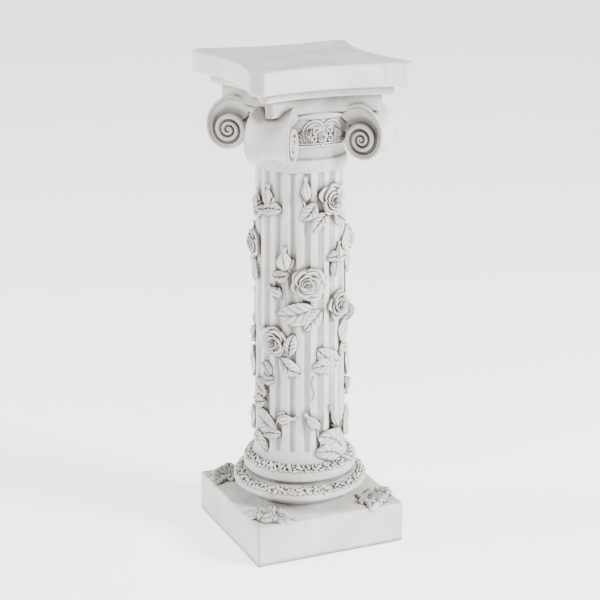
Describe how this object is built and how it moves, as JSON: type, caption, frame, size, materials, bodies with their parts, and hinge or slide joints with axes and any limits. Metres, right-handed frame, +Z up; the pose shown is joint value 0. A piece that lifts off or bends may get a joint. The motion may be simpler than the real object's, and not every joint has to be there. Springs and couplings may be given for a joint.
{
  "type": "column pedestal",
  "caption": "Square-topped pedestal: fluted round column with climbing roses in relief, moulded leafy base on a square plinth, corner volutes under a hollow-sided slab.",
  "frame": {"origin": "centre of the plinth's underside, on the floor", "axes": "+Z up the column's axis, +Y away from the viewer's side, +X to the right; the faces of the plinth and slab square to X and Y"},
  "size_m": [0.261, 0.261, 0.76],
  "materials": {
    "antique_white_resin": "cast resin stone with a matt antique-white wash, grey in the hollows"
  },
  "bodies": {
    "root": {"column_pedestal": "antique_white_resin"}
  },
  "joints": []
}
